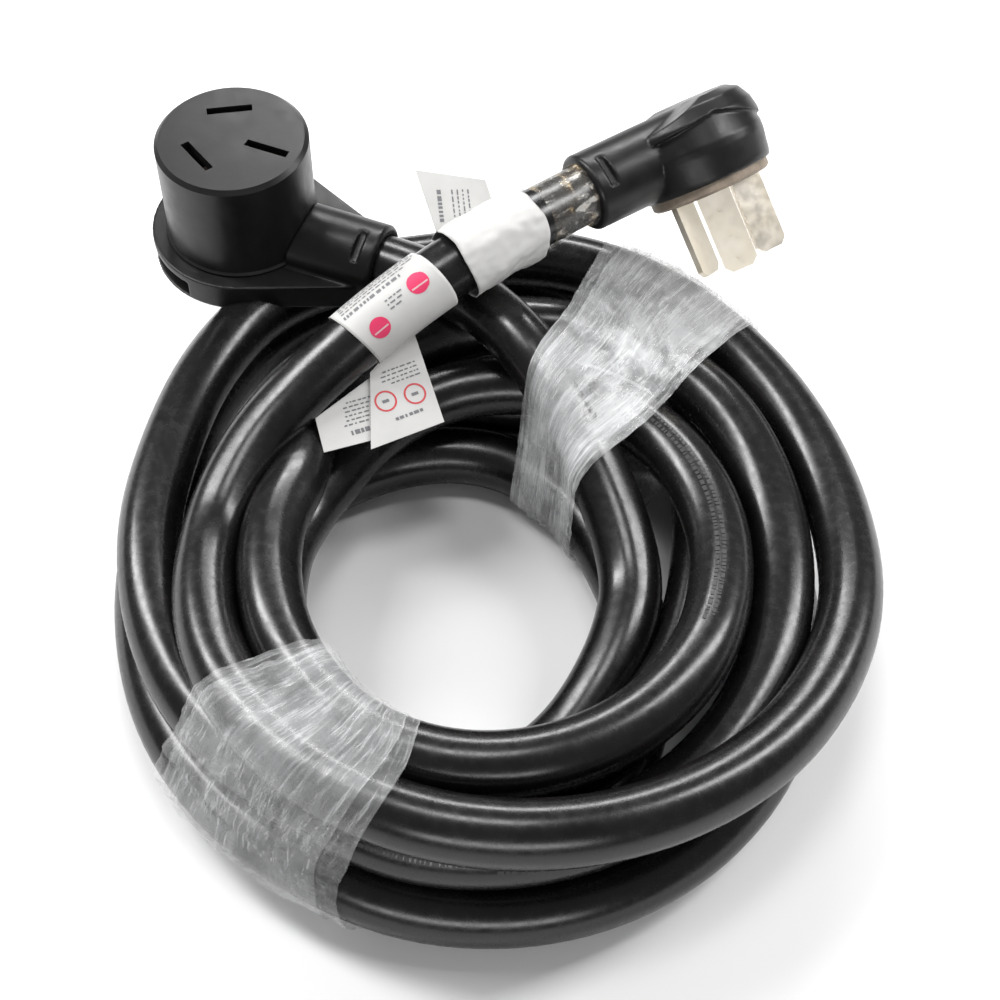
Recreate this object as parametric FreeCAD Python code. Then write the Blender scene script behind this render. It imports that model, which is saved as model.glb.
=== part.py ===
import FreeCAD, Part
import math
import os

V = FreeCAD.Vector

# Moulded three-pole shore power cord, coiled for the shelf. Millimetres, +Z up, the coil lies on
# z = 0 and the origin is under the middle of the whole cord. A right-angle plug with three flat
# blades is on one end and a round right-angle connector with three flat slots on the other.

# ---- cord ----
CORD_OD = 23.0
CORD_R = CORD_OD / 2
CORE_R = 3.8
CORE_PLACES = ((0.0, 2.0), (6.1, -4.2), (-6.1, -4.2))   # across and up in the jacket, neutral first
CORE_STRAIGHT = 6.0            # straight core at the jacket's end
PLUG_CORE_LANDING = 3.0        # straight core at the crimp
CONNECTOR_CORE_LANDING = 10.0
STRAND_R = 2.6
JACKET_ENTRY = 14.0            # how far the jacket runs into each moulding
PRESS = 0.05                   # radial clearance of a moulded-in piece

# ---- contact pattern, shared by both mouldings (x towards the neutral) ----
BLADE_WIDTH = 13.4
BLADE_THICK = 2.4
BLADE_REACH = 31.5
NEUTRAL_OFFSET = 15.0
LINE_RADIUS = 15.6
LINE_ANGLE = 119.0
LINE_TWIST = 30.0
SLOT_PLAY = 2.05               # slot wider than the blade on each side
SLOT_GAP = 0.5                 # slot thicker than the blade on each side

# ---- plug moulding ----
PLUG_NECK_END = V(31.4, 108.0, 87.0)
PLUG_YAW = 33.0
PLUG_ROLL = 48.0
PLUG_NECK_RUN = 52.0           # neck end to the middle of the blades
PLUG_BODY_R = 26.0             # at the blade face; the body widens upwards
PLUG_FLARE = 1.8               # how much it widens up to the cap
PLUG_CAP_R = 28.6
PLUG_CAP_TOP = 15.6
PLUG_CAP_NECK = 34.0           # length over which the cap narrows towards the neck
PLUG_CAP_LOW = -1.0            # underside of the cap at its far end
PLUG_CAP_HIGH = 8.5            # underside of the cap above the axis of the neck
PLUG_BODY_BASE = -16.0
CARRIER_R = 24.3
CARRIER_LEDGE = 3.0            # rim of the carrier that stays outside the body
CARRIER_FACE = 4.0
CARRIER_DEPTH = 9.0            # how far the blade carrier reaches up inside the body
TIP_CUT = 2.6
DIMPLE_R = 0.9
DIMPLE_DEPTH = 0.5

# ---- connector moulding ----
CONNECTOR_AXIS = V(-102.0, 120.5, 44.4)
CONNECTOR_YAW = -22.2
CONNECTOR_NECK_RUN = 61.3
BARREL_R = 29.5
BARREL_TOP = 60.0
BARREL_BASE = 15.0
BARREL_EDGE = 1.6
BEAD_R = 0.9
SLAB_R = 36.0
SHELL_WALL = 4.0
CHAMBER_R = 24.0
GRIP_DEPTH = 8.0               # finger recess in the back of the connector
GRIP_HEIGHT = 8.0

# ---- both mouldings ----
NECK_R = 15.2
NECK_LIP = 1.2
SLAB_NECK_HALF = 13.0
WINDOW_LONG = 13.0
WINDOW_WIDE = 3.2
WINDOW_DEEP = 2.2
WINDOW_BACK = 9.0              # window centre to the neck end
CRIMP_R = 3.6
CRIMP_LONG = 9.0
LEAF_THICK = 0.8
LEAF_HIGH = 20.0

# ---- coil: ellipses of the innermost and outermost turns' centre lines ----
INNER_CENTRE = (-18.0, -38.0)
INNER_HALF = (66.0, 75.5)
OUTER_CENTRE = (-1.0, -11.8)
OUTER_HALF = (131.3, 141.8)
COIL_LIFT = 1.2                # the film under the coil holds it off the surface
COIL_ROUND = 8.0
# at each quarter, clockwise from +Y: height, share of the width where the top begins and ends,
# and the height of the outer wall
QUARTERS = {0: (58.0, 0.12, 0.62, 26.0), 90: (50.0, -0.06, 1.0, 38.0),
            180: (71.5, 0.10, 1.0, 52.0), 270: (68.0, -0.08, 0.65, 46.0)}
SECTIONS = 16

# ---- free leads, end of the jacket in the moulding to the coil ----
LEAD_STRAIGHT = 9.0            # straight cord outside the connector's neck
CONNECTOR_LEAD = [(-20, 82, 64), (-4, 67.5, 66.5), (10, 49.5, 66.5), (23, 29.5, 60.5), (35, 7, 49)]
PLUG_LEAD = [(-103, -27, 52), (-97, -6, 56), (-87, 13, 61), (-73, 28, 67), (-57, 41, 75),
             (-38, 53.5, 84.5), (-19, 66, 91), (-1, 80, 92), (16, 94.5, 89.5)]

# ---- film, labels and tape ----
FILM = 0.5
FILM_GAP = 0.7
NEAR_FILM = (190.0, 233.0)     # azimuths that each band covers
FAR_FILM = (22.0, 51.0)
LEAD_UNDER_FILM = ((15.0, 68.5), (1.0, 52.0))   # distance outward and height of the lead there
LEAD_ROOM = 3.0                # room round the lead under the far film
FILM_STEPS = 6
PAPER = 0.4
SLEEVE_GAP = 2.0
SLEEVE_LONG = 33.0
SLEEVE_BACK = 3.0              # middle of the sleeve to its point of the lead
WRAP_GAP = 0.5
WRAP_LONG = 37.0
TAPE = 0.4
TAPE_GAP = 0.5
TAPE_SPACE = 3.0               # clear cord between the tape and its neighbours
TAG_LONG = 38.0                # tag that stands out behind the sleeve
TAG_SHORT = 22.0
TAG_WIDE = 27.0
TAG_WAY = V(-0.32, 0.75, 0.58)
# the two flags hang from the wrap over the coil's inner edge, seen from above
FLAG_TOP = V(-33.0, 56.0, 70.5)
FLAG_SLOPE = (-0.154, 0.293)   # rise along X and along Y
FLAG_UNDER = 1.3               # the second flag lies this far under the first
FLAGS = [[(-33, 56), (-20.5, 20), (-47, 7), (-48, 36)],
         [(-48, 35), (-38, 14.5), (-64, 5), (-67.5, 17.5)]]

parts = {}


# ---------------------------------------------------------------- helpers
def spin(shape, degrees, axis=V(0, 0, 1), centre=V(0, 0, 0)):
    turned = shape.copy()
    turned.rotate(centre, axis, degrees)
    return turned


def move(shape, x, y, z):
    moved = shape.copy()
    moved.translate(V(x, y, z))
    return moved


def block(cx, cy, z0, lx, ly, lz):
    return Part.makeBox(lx, ly, lz, V(cx - lx / 2, cy - ly / 2, z0))


def turned_solid(outline):
    """Solid of revolution about Z from (radius, z) corners."""
    points = [V(r, 0, z) for r, z in outline]
    wire = Part.makePolygon(points + [points[0]])
    return Part.Face(wire).revolve(V(0, 0, 0), V(0, 0, 1), 360)


def rounded_wire(corners, radius):
    """Closed planar wire through convex corners, each one rounded by a tangent arc."""
    count = len(corners)
    starts, mids, ends = [], [], []
    for i in range(count):
        back = (corners[i - 1] - corners[i]).normalize()
        ahead = (corners[(i + 1) % count] - corners[i]).normalize()
        half = back.getAngle(ahead) / 2
        reach = radius / math.tan(half)
        bisector = (back + ahead).normalize()
        centre = corners[i] + bisector * (radius / math.sin(half))
        starts.append(corners[i] + back * reach)
        mids.append(centre - bisector * radius)
        ends.append(corners[i] + ahead * reach)
    edges = []
    for i in range(count):
        edges.append(Part.Arc(starts[i], mids[i], ends[i]).toShape())
        edges.append(Part.LineSegment(ends[i], starts[(i + 1) % count]).toShape())
    return Part.Wire(edges)


def route_wire(points, share=0.45):
    """Straight runs joined by tangent arcs; returns the wire and the arc radii."""
    edges, radii = [], []
    here = points[0]
    for i in range(1, len(points) - 1):
        before = points[i] - points[i - 1]
        after = points[i + 1] - points[i]
        turn = before.getAngle(after)
        reach = share * min(before.Length, after.Length)
        radius = reach / math.tan(turn / 2)
        radii.append(radius)
        start = points[i] - before.normalize() * reach
        end = points[i] + after.normalize() * reach
        inward = (after - before).normalize()
        centre = points[i] + inward * (radius / math.cos(turn / 2))
        middle = centre - inward * radius
        edges.append(Part.LineSegment(here, start).toShape())
        edges.append(Part.Arc(start, middle, end).toShape())
        here = end
    edges.append(Part.LineSegment(here, points[-1]).toShape())
    return Part.Wire(edges), radii


def tube(points, radius, name=""):
    """Round bar along a route."""
    wire, radii = route_wire(points)
    heading = (points[1] - points[0]).normalize()
    ring = Part.Wire(Part.makeCircle(radius, points[0], heading))
    bar = wire.makePipeShell([ring], True, False)
    if name:
        exact = math.pi * radius ** 2 * wire.Length
        print(f"{name}: length {wire.Length:.0f} volume ratio {bar.Volume / exact:.3f}",
              "radii", [round(r) for r in radii])
    return bar


def hollow(start, end, inner, outer):
    """Straight sleeve between two points."""
    heading = end - start
    return (Part.makeCylinder(outer, heading.Length, start, heading)
            .cut(Part.makeCylinder(inner, heading.Length, start, heading)))


def teardrop(body_r, neck_half, neck_x, z0, z1):
    """Slab with a round body at the origin, tapering along +x to the neck."""
    lean = math.asin((body_r - neck_half) / neck_x)
    tangent = V(body_r * math.sin(lean), body_r * math.cos(lean), z0)
    mirror = V(tangent.x, -tangent.y, z0)
    near, far = V(neck_x, neck_half, z0), V(neck_x, -neck_half, z0)
    edges = [Part.LineSegment(tangent, near).toShape(), Part.LineSegment(near, far).toShape(),
             Part.LineSegment(far, mirror).toShape(),
             Part.Arc(mirror, V(-body_r, 0, z0), tangent).toShape()]
    return Part.Face(Part.Wire(edges)).extrude(V(0, 0, z1 - z0))


def neck(neck_x, z):
    """Cable neck along +x from the origin with a small lip at its end."""
    barrel = Part.makeCylinder(NECK_R, neck_x, V(0, 0, z), V(1, 0, 0))
    lip = Part.makeCone(NECK_R, NECK_R - NECK_LIP, NECK_LIP, V(neck_x, 0, z), V(1, 0, 0))
    return barrel.fuse(lip)


def window(neck_x):
    """Narrow recess across the neck, cut square into its wall."""
    return Part.makeBox(WINDOW_WIDE, WINDOW_LONG, WINDOW_DEEP * 2 + NECK_R,
                        V(neck_x - WINDOW_BACK, -WINDOW_LONG / 2, NECK_R - WINDOW_DEEP))


def wrap(points, start, end, gap, thick):
    """Skin round a stretch of the cord: points are its route, start and end where it is trimmed."""
    outer, inner = tube(points, CORD_R + gap + thick), tube(points, CORD_R + gap)
    heading = end - start
    return outer.cut(inner).common(Part.makeCylinder(CORD_OD, heading.Length, start, heading))


def sheet(corners, thick):
    """Flat paper from corners in space."""
    normal = (corners[1] - corners[0]).cross(corners[-1] - corners[0]).normalize()
    return Part.Face(Part.makePolygon(corners + [corners[0]])).extrude(normal * thick)


def pole_places():
    """Name, x, y and turn of each contact, neutral first."""
    angle = math.radians(LINE_ANGLE)
    x, y = LINE_RADIUS * math.cos(angle), LINE_RADIUS * math.sin(angle)
    return [("neutral", NEUTRAL_OFFSET, 0.0, 0.0), ("line_1", x, y, LINE_TWIST),
            ("line_2", x, -y, -LINE_TWIST)]


def at_pole(shape, x, y, twist):
    return move(spin(shape, twist), x, y, 0)


# ---------------------------------------------------------------- placing the mouldings
def plug_frame():
    """Local x points away from the cord, local -z is the way the blades point."""
    yaw, roll = math.radians(PLUG_YAW), math.radians(PLUG_ROLL)
    along = V(math.cos(yaw), math.sin(yaw), 0)
    side = V(math.sin(yaw), -math.cos(yaw), 0)
    blades = side * math.sin(roll) + V(0, 0, -1) * math.cos(roll)
    up = blades * -1
    across = up.cross(along)
    base = PLUG_NECK_END + along * PLUG_NECK_RUN
    return FreeCAD.Matrix(along.x, across.x, up.x, base.x,
                          along.y, across.y, up.y, base.y,
                          along.z, across.z, up.z, base.z,
                          0, 0, 0, 1)


def connector_frame():
    place = FreeCAD.Placement(CONNECTOR_AXIS, FreeCAD.Rotation(V(0, 0, 1), CONNECTOR_YAW))
    return place.toMatrix()


def add(name, shape, frame=None):
    if frame is not None:
        shape = shape.copy()
        shape.transformShape(frame, True)
    parts[name] = shape


# ---------------------------------------------------------------- wiring inside a moulding
def cores(entry_x, side, z_entry, landing, targets):
    """Three insulated cores from the jacket's end to the crimps.

    entry_x is where the jacket ends, side is +1 or -1 along x from there to the contacts."""
    out = []
    for (name, tx, ty, tz), (across, up) in zip(targets, CORE_PLACES):
        start = V(entry_x, across, z_entry + up)
        end = V(tx, ty, tz)
        out.append((name, [start, start + V(side * CORE_STRAIGHT, 0, 0),
                           end - V(side * landing, 0, 0), end]))
    return out


# ---------------------------------------------------------------- plug
def blade():
    """One flat blade, width along x, pointing down from z = 0."""
    half, tip = BLADE_WIDTH / 2, BLADE_WIDTH / 2 - TIP_CUT
    y = -BLADE_THICK / 2
    low = -BLADE_REACH
    corners = [V(-half, y, 0), V(half, y, 0), V(half, y, low + TIP_CUT), V(tip, y, low),
               V(-tip, y, low), V(-half, y, low + TIP_CUT)]
    return Part.Face(Part.makePolygon(corners + [corners[0]])).extrude(V(0, BLADE_THICK, 0))


def build_plug():
    frame = plug_frame()
    face_z = PLUG_BODY_BASE - CARRIER_FACE
    root_z = PLUG_BODY_BASE + CARRIER_DEPTH - 3.0
    neck_x = -PLUG_NECK_RUN
    jacket_end = neck_x + JACKET_ENTRY

    cap = spin(teardrop(PLUG_CAP_R, SLAB_NECK_HALF, PLUG_CAP_NECK, PLUG_BODY_BASE, PLUG_CAP_TOP), 180)
    crown = turned_solid([(0, PLUG_BODY_BASE), (60, PLUG_BODY_BASE), (60, 3), (PLUG_CAP_R, 3),
                          (PLUG_CAP_R - 1, 8), (PLUG_CAP_R - 4, PLUG_CAP_TOP - 2.5),
                          (PLUG_CAP_R - 9, PLUG_CAP_TOP), (0, PLUG_CAP_TOP)])
    side = [(-PLUG_CAP_NECK, PLUG_CAP_HIGH - 4), (0, PLUG_CAP_HIGH), (40, PLUG_CAP_LOW - 3),
            (40, PLUG_CAP_TOP), (0, PLUG_CAP_TOP), (-14, PLUG_CAP_HIGH + 3), (-PLUG_CAP_NECK, 7)]
    corners = [V(x, -40, z) for x, z in side]
    ramp = Part.Face(Part.makePolygon(corners + [corners[0]])).extrude(V(0, 80, 0))
    cap = cap.common(crown).common(ramp)
    body = turned_solid([(0, PLUG_CAP_HIGH), (PLUG_BODY_R - 1, PLUG_CAP_HIGH),
                         (PLUG_BODY_R + PLUG_FLARE, PLUG_CAP_LOW - 1),
                         (PLUG_BODY_R + PLUG_FLARE, PLUG_CAP_LOW - 4),
                         (PLUG_BODY_R + 0.6, PLUG_BODY_BASE + 2), (PLUG_BODY_R, PLUG_BODY_BASE),
                         (0, PLUG_BODY_BASE)])
    stem = spin(neck(PLUG_NECK_RUN - NECK_LIP, 0), 180)
    shell = cap.fuse([body, stem])
    shell = shell.cut(spin(spin(window(PLUG_NECK_RUN), -70, V(1, 0, 0)), 180))

    seat_r = CARRIER_R - CARRIER_LEDGE
    pocket = Part.makeCylinder(seat_r, CARRIER_DEPTH, V(0, 0, PLUG_BODY_BASE))
    carrier = turned_solid([(0, face_z), (CARRIER_R - 1, face_z), (CARRIER_R, face_z + 1),
                            (CARRIER_R, PLUG_BODY_BASE), (seat_r, PLUG_BODY_BASE),
                            (seat_r, PLUG_BODY_BASE + CARRIER_DEPTH),
                            (0, PLUG_BODY_BASE + CARRIER_DEPTH)])
    shell = shell.cut(pocket)

    jacket = Part.makeCylinder(CORD_R, JACKET_ENTRY, V(neck_x, 0, 0), V(1, 0, 0))
    shell = shell.cut(jacket)

    crimp_z = PLUG_BODY_BASE + CARRIER_DEPTH + CRIMP_R + 0.6
    targets = []
    for name, x, y, twist in pole_places():
        plate = move(blade(), 0, 0, face_z)
        root = block(0, 0, face_z, BLADE_WIDTH, BLADE_THICK, root_z - face_z)
        tail = block(0, 0, root_z, CRIMP_R * 1.6, BLADE_THICK, crimp_z - CRIMP_R + 0.5 - root_z)
        metal = at_pole(plate.fuse([root, tail]), x, y, twist)
        if name == "line_2":
            for drop in (0.22, 0.55, 0.84):
                pit = Part.makeCylinder(DIMPLE_R, DIMPLE_DEPTH * 2,
                                        V(0, -BLADE_THICK / 2 - DIMPLE_DEPTH, face_z - BLADE_REACH * drop),
                                        V(0, 1, 0))
                metal = metal.cut(at_pole(pit, x, y, twist))
        carrier = carrier.cut(at_pole(root.fuse(tail), x, y, twist))
        barrel = Part.makeCylinder(CRIMP_R, CRIMP_LONG, V(x - CRIMP_LONG / 2, y, crimp_z), V(1, 0, 0))
        metal = metal.cut(barrel)
        shell = shell.cut([metal, barrel])
        add(f"plug_blade_{name}", metal, frame)
        targets.append((name, x - CRIMP_LONG / 2, y, crimp_z))
        wire = Part.makeCylinder(STRAND_R, CRIMP_LONG, V(x - CRIMP_LONG / 2, y, crimp_z), V(1, 0, 0))
        add(f"plug_crimp_{name}", barrel.cut(wire), frame)
        add(f"plug_strands_{name}", wire, frame)
    runs = cores(jacket_end, 1, 0, PLUG_CORE_LANDING, targets)
    wiring = [(name, tube(points, CORE_R)) for name, points in runs]
    shell = shell.cut([core for _, core in wiring])
    for name, core in wiring:
        add(f"plug_core_{name}", core, frame)
    add("plug_overmould", shell, frame)
    add("plug_blade_carrier", carrier, frame)


# ---------------------------------------------------------------- connector
def spring_contact(z0):
    """Two leaves that grip a blade, joined by a yoke at the bottom."""
    gap = BLADE_THICK + 0.1
    leaves = [block(0, side * (gap + LEAF_THICK) / 2, z0, BLADE_WIDTH - 3, LEAF_THICK, LEAF_HIGH)
              for side in (-1, 1)]
    yoke = block(0, 0, z0 - LEAF_THICK, BLADE_WIDTH - 3, gap + LEAF_THICK * 2, LEAF_THICK)
    return yoke.fuse(leaves)


def build_connector():
    frame = connector_frame()
    neck_x = CONNECTOR_NECK_RUN
    neck_z = NECK_R
    jacket_end = neck_x - JACKET_ENTRY

    slab = teardrop(SLAB_R, SLAB_NECK_HALF, neck_x, 0, BARREL_BASE)
    round_off = turned_solid([(0, 0), (SLAB_R - 3, 0), (SLAB_R + 0.1, 3.5), (90, 3.5),
                              (90, BARREL_BASE), (0, BARREL_BASE)])
    slab = slab.common(round_off)
    stem = neck(neck_x - NECK_LIP, neck_z)
    base = slab.fuse(stem)
    keep_out = Part.makeCylinder(BARREL_R, BARREL_TOP - BARREL_BASE, V(0, 0, BARREL_BASE))
    base = base.cut(keep_out)
    base = base.cut(move(spin(window(neck_x), 25, V(1, 0, 0)), 0, 0, neck_z))
    grip = block(-SLAB_R, 0, (BARREL_BASE - GRIP_HEIGHT) / 2, GRIP_DEPTH * 2, 34, GRIP_HEIGHT)
    base = base.cut(spin(grip, 50))

    inner_floor = BARREL_TOP - SHELL_WALL
    barrel = turned_solid([(0, BARREL_BASE), (BARREL_R - 0.6, BARREL_BASE),
                           (BARREL_R + BEAD_R, BARREL_BASE + BEAD_R), (BARREL_R, BARREL_BASE + 2 * BEAD_R),
                           (BARREL_R, BARREL_TOP - BARREL_EDGE),
                           (BARREL_R - BARREL_EDGE, BARREL_TOP), (0, BARREL_TOP)])
    base = base.cut(barrel)
    chamber_top = inner_floor - 0.5
    chamber = Part.makeCylinder(CHAMBER_R, chamber_top - BARREL_BASE, V(0, 0, BARREL_BASE))
    carrier_top = BARREL_BASE + 12
    leaf_z = carrier_top + LEAF_THICK
    carrier = Part.makeCylinder(CHAMBER_R - PRESS, carrier_top - BARREL_BASE, V(0, 0, BARREL_BASE))
    barrel = barrel.cut(chamber)
    crimp_z = BARREL_BASE - CRIMP_R - 0.6

    jacket = Part.makeCylinder(CORD_R, JACKET_ENTRY, V(jacket_end, 0, neck_z), V(1, 0, 0))
    base = base.cut(jacket)
    targets = []
    for name, x, y, twist in pole_places():
        slot = block(0, 0, BARREL_BASE, BLADE_WIDTH + 2 * SLOT_PLAY, BLADE_THICK + 2 * SLOT_GAP,
                     BARREL_TOP)
        barrel = barrel.cut(at_pole(slot, x, y, twist))
        tail = block(0, 0, crimp_z, CRIMP_R * 1.6, BLADE_THICK, leaf_z - LEAF_THICK - crimp_z)
        clip = at_pole(spring_contact(leaf_z).fuse(tail), x, y, twist)
        drum = Part.makeCylinder(CRIMP_R, CRIMP_LONG, V(x - CRIMP_LONG / 2, y, crimp_z), V(1, 0, 0))
        clip = clip.cut(drum)
        carrier = carrier.cut(at_pole(tail, x, y, twist))
        base = base.cut([clip, drum])
        wire = Part.makeCylinder(STRAND_R, CRIMP_LONG, V(x - CRIMP_LONG / 2, y, crimp_z), V(1, 0, 0))
        add(f"connector_contact_{name}", clip, frame)
        add(f"connector_crimp_{name}", drum.cut(wire), frame)
        add(f"connector_strands_{name}", wire, frame)
        targets.append((name, x + CRIMP_LONG / 2, y, crimp_z))
    runs = cores(jacket_end, -1, neck_z, CONNECTOR_CORE_LANDING, targets)
    wiring = [(name, tube(points, CORE_R)) for name, points in runs]
    base = base.cut([core for _, core in wiring])
    for name, core in wiring:
        add(f"connector_core_{name}", core, frame)
    add("connector_back", base, frame)
    add("connector_barrel", barrel, frame)
    add("connector_carrier", carrier, frame)


# ---------------------------------------------------------------- coil
def ring_points(azimuth):
    """Innermost and outermost centre-line points, clockwise from +Y."""
    a = math.radians(azimuth)
    inner = V(INNER_CENTRE[0] + INNER_HALF[0] * math.sin(a),
              INNER_CENTRE[1] + INNER_HALF[1] * math.cos(a), 0)
    outer = V(OUTER_CENTRE[0] + OUTER_HALF[0] * math.sin(a),
              OUTER_CENTRE[1] + OUTER_HALF[1] * math.cos(a), 0)
    return inner, outer


def coil_profile(azimuth):
    """Corners (distance outward, height) of the coil's section."""
    inner, outer = ring_points(azimuth)
    width = (outer - inner).Length
    quarter = int(azimuth // 90) * 90 % 360
    mix = (1 - math.cos(math.radians(azimuth % 90) * 2)) / 2
    here, there = QUARTERS[quarter], QUARTERS[(quarter + 90) % 360]
    height, begin, finish, side = (p + (q - p) * mix for p, q in zip(here, there))
    return [(-CORD_R, COIL_LIFT), (width + CORD_R, COIL_LIFT), (width + CORD_R, side),
            (finish * width, height), (begin * width, height)]


def lift_profile(azimuth, profile):
    """Section corners in space."""
    inner, outer = ring_points(azimuth)
    outward = (outer - inner).normalize()
    return [inner + outward * s + V(0, 0, z) for s, z in profile]


def build_coil():
    halves = []
    step = 360 / SECTIONS
    for first in (0, SECTIONS // 2):
        wires = []
        for i in range(first, first + SECTIONS // 2 + 1):
            azimuth = i * step % 360
            wires.append(rounded_wire(lift_profile(azimuth, coil_profile(azimuth)), COIL_ROUND))
        halves.append(Part.makeLoft(wires, True, False))
    add("cord_coil", halves[0].fuse(halves[1]).removeSplitter())


# ---------------------------------------------------------------- leads
def neck_directions():
    yaw = math.radians(PLUG_YAW)
    plug_way = V(math.cos(yaw), math.sin(yaw), 0)
    turn = math.radians(CONNECTOR_YAW)
    connector_way = V(math.cos(turn), math.sin(turn), 0)
    return plug_way, connector_way


def build_leads():
    plug_way, connector_way = neck_directions()
    neck_end = CONNECTOR_AXIS + connector_way * CONNECTOR_NECK_RUN + V(0, 0, NECK_R)
    route = [neck_end - connector_way * JACKET_ENTRY, neck_end + connector_way * LEAD_STRAIGHT]
    route += [V(*p) for p in CONNECTOR_LEAD]
    add("cord_connector_lead", tube(route, CORD_R, "connector lead"))
    route = [V(*p) for p in PLUG_LEAD] + [PLUG_NECK_END, PLUG_NECK_END + plug_way * JACKET_ENTRY]
    add("cord_plug_lead", tube(route, CORD_R, "plug lead"))


# ---------------------------------------------------------------- film
def band(azimuths, profiles):
    """Thin closed band round the coil between the given sections."""
    skins = []
    for inset in (0.0, FILM):
        wires = []
        for azimuth, profile in zip(azimuths, profiles):
            wires.append(rounded_wire(lift_profile(azimuth, inset_profile(profile, inset)),
                                      COIL_ROUND + FILM_GAP + FILM - inset))
        skins.append(Part.makeLoft(wires, True, False))
    return skins[0].cut(skins[1])


def inset_profile(profile, inset):
    """Convex profile moved inward by the same distance on every side (negative: outward)."""
    count = len(profile)
    lines = []
    for i in range(count):
        (s0, z0), (s1, z1) = profile[i], profile[(i + 1) % count]
        run = math.hypot(s1 - s0, z1 - z0)
        nx, nz = -(z1 - z0) / run, (s1 - s0) / run
        lines.append((s0 + nx * inset, z0 + nz * inset, s1 - s0, z1 - z0))
    out = []
    for i in range(count):
        s0, z0, ds, dz = lines[i - 1]
        s1, z1, es, ez = lines[i]
        t = ((s1 - s0) * ez - (z1 - z0) * es) / (ds * ez - dz * es)
        out.append((s0 + ds * t, z0 + dz * t))
    return out


def film_profile(azimuth):
    """The coil's section, a film's clearance larger."""
    return inset_profile(coil_profile(azimuth), -(FILM_GAP + FILM))


def far_profile(azimuth):
    """Section of the far film, which also takes in the connector's lead on top of the coil."""
    share = (azimuth - FAR_FILM[0]) / (FAR_FILM[1] - FAR_FILM[0])
    s, z = (a + (b - a) * share for a, b in zip(LEAD_UNDER_FILM[0], LEAD_UNDER_FILM[1]))
    inner_low, outer_low, outer_side, top_out, _ = coil_profile(azimuth)
    reach = CORD_R + LEAD_ROOM
    shape = [inner_low, outer_low, outer_side, top_out, (s + reach * 0.5, z + reach),
             (s - reach, z + reach * 0.7)]
    return inset_profile(shape, -(FILM_GAP + FILM))


def build_film():
    for name, (first, last), profile in (("film_near", NEAR_FILM, film_profile),
                                         ("film_far", FAR_FILM, far_profile)):
        azimuths = [first + (last - first) * i / FILM_STEPS for i in range(FILM_STEPS + 1)]
        add(name, band(azimuths, [profile(a) for a in azimuths]))


# ---------------------------------------------------------------- labels and tape
def build_labels():
    points = [V(*p) for p in PLUG_LEAD]
    plug_way, _ = neck_directions()
    way = (points[8] - points[6]).normalize()
    middle = points[7] - way * SLEEVE_BACK
    start, end = middle - way * SLEEVE_LONG / 2, middle + way * SLEEVE_LONG / 2
    add("label_sleeve", hollow(start, end, CORD_R + SLEEVE_GAP, CORD_R + SLEEVE_GAP + PAPER))

    normal = way.cross(TAG_WAY).normalize()
    foot = middle - normal * (CORD_R + SLEEVE_GAP + PAPER * 1.5)
    left, right = foot - way * TAG_WIDE / 2, foot + way * TAG_WIDE / 2
    add("label_tag", sheet([left, right, right + TAG_WAY * TAG_SHORT, left + TAG_WAY * TAG_LONG],
                           -PAPER))

    way = (points[6] - points[4]).normalize()
    add("label_wrap", wrap(points[4:7], points[5] - way * WRAP_LONG / 2,
                           points[5] + way * WRAP_LONG / 2, WRAP_GAP, PAPER))

    way = (points[8] - points[7]).normalize()
    start = end + way * TAPE_SPACE
    add("clear_tape", wrap([points[7], points[8], PLUG_NECK_END], start,
                           PLUG_NECK_END - plug_way * TAPE_SPACE, TAPE_GAP, TAPE))

    for number, outline in enumerate(FLAGS):
        corners = []
        for x, y in outline:
            rise = FLAG_SLOPE[0] * (x - FLAG_TOP.x) + FLAG_SLOPE[1] * (y - FLAG_TOP.y)
            corners.append(V(x, y, FLAG_TOP.z + rise - FLAG_UNDER * number))
        add(f"label_flag_{number + 1}", sheet(corners, PAPER))


def seat_leads():
    """The mouldings are formed round the cord's leads."""
    parts["connector_back"] = parts["connector_back"].cut(parts["cord_connector_lead"])
    parts["plug_overmould"] = parts["plug_overmould"].cut(parts["cord_plug_lead"])


build_plug()
build_connector()
build_coil()
build_leads()
build_film()
build_labels()
seat_leads()

os.makedirs("parts", exist_ok=True)
box = FreeCAD.BoundBox()
for name, shape in parts.items():
    if not shape.isValid() or len(shape.Solids) != 1:
        print("CHECK", name, shape.isValid(), len(shape.Solids))
    solid = shape.Solids[0] if len(shape.Solids) == 1 else shape
    box.add(solid.BoundBox)
    solid.exportStep(f"parts/{name}.step")
print(len(parts), "parts", box)
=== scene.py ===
import math
import random

import bmesh
import bpy
import numpy as np
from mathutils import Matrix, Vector, noise


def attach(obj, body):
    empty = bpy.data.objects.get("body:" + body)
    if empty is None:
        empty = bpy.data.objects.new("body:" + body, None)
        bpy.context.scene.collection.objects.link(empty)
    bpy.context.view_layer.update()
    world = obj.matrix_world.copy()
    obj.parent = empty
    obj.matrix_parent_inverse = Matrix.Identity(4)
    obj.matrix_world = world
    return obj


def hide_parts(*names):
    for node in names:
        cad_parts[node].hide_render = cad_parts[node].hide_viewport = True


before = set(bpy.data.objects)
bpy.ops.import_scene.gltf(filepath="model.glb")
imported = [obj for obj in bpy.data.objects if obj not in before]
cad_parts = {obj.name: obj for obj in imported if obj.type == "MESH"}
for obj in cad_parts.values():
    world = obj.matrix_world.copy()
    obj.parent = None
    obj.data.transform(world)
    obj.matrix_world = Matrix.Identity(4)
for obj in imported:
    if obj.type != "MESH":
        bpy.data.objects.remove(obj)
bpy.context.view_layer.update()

# Shore power cord: one long cord in a coil, its two mouldings, film, tape and paper labels.
# Everything is in metres, in the CAD's frame: +Z up, origin under the middle of the cord.

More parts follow.
